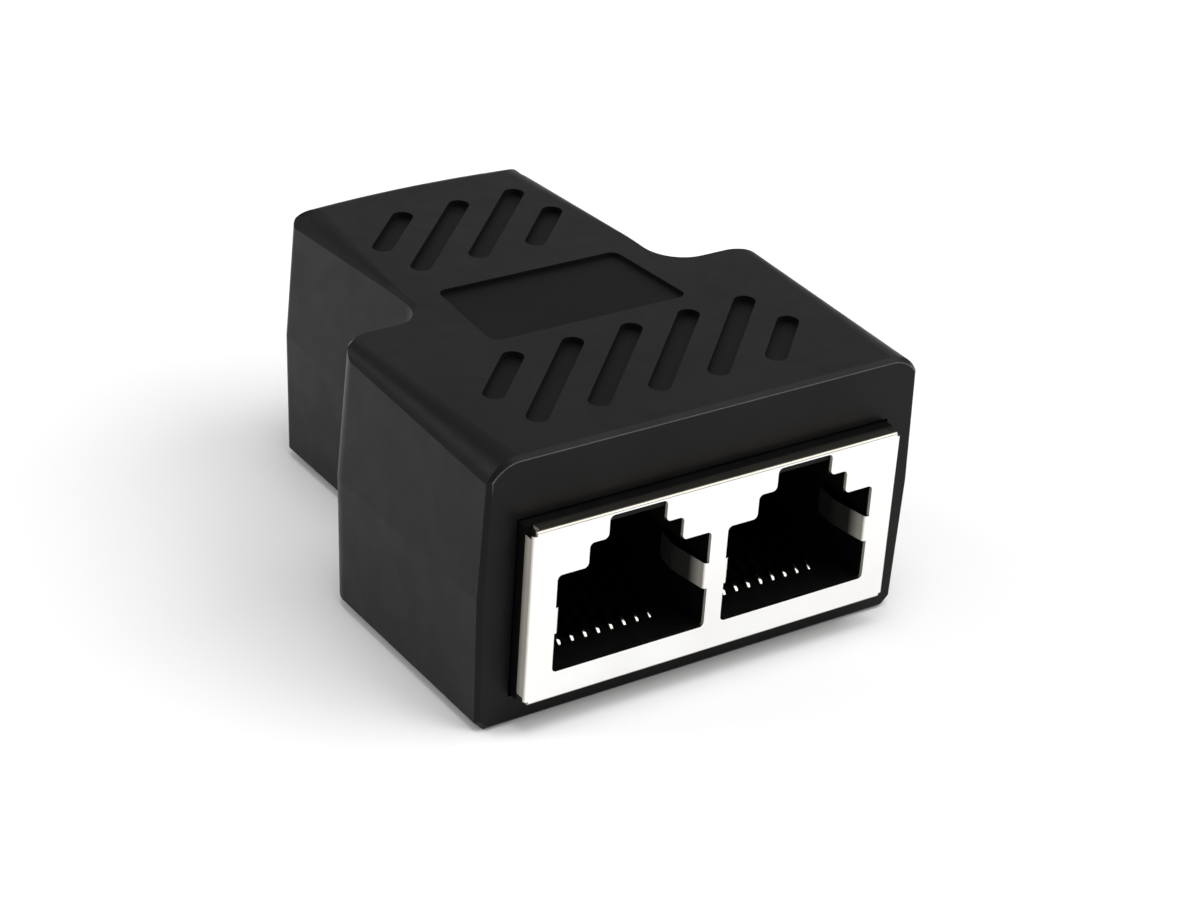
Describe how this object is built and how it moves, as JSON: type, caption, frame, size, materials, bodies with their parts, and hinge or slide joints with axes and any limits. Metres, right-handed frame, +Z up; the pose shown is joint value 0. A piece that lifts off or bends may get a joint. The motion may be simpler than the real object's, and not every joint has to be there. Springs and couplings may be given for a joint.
{
  "type": "ethernet cable splitter",
  "caption": "T-shaped moulded splitter with shielded modular network sockets side by side in the wide end and another in the narrow end.",
  "frame": {"origin": "middle of the footprint, on the underside", "axes": "+Z up; -Y out of the wide end with the sockets side by side; +Y out of the narrow end"},
  "size_m": [0.0342, 0.0426, 0.0196],
  "materials": {
    "housing": "satin black moulded",
    "socket_plastic": "black moulded",
    "insert_plastic": "black moulded",
    "shield": "bright tinned sheet",
    "contact": "gold flashed",
    "board": "green solder mask"
  },
  "bodies": {
    "root": {"upper_shell": "housing", "lower_shell": "housing", "circuit_board": "board", "front_shield": "shield", "rear_shield": "shield", "front_back_shield": "shield", "rear_back_shield": "shield", "front_jack_body": "socket_plastic", "rear_jack_body": "socket_plastic", "left_contact_insert": "insert_plastic", "right_contact_insert": "insert_plastic", "rear_contact_insert": "insert_plastic", "left_leg_block": "insert_plastic", "right_leg_block": "insert_plastic", "rear_leg_block": "insert_plastic", "left_contact_1": "contact", "left_contact_2": "contact", "left_contact_3": "contact", "left_contact_4": "contact", "left_contact_5": "contact", "left_contact_6": "contact", "left_contact_7": "contact", "left_contact_8": "contact", "right_contact_1": "contact", "right_contact_2": "contact", "right_contact_3": "contact", "right_contact_4": "contact", "right_contact_5": "contact", "right_contact_6": "contact", "right_contact_7": "contact", "right_contact_8": "contact", "rear_contact_1": "contact", "rear_contact_2": "contact", "rear_contact_3": "contact", "rear_contact_4": "contact", "rear_contact_5": "contact", "rear_contact_6": "contact", "rear_contact_7": "contact", "rear_contact_8": "contact"}
  },
  "joints": []
}
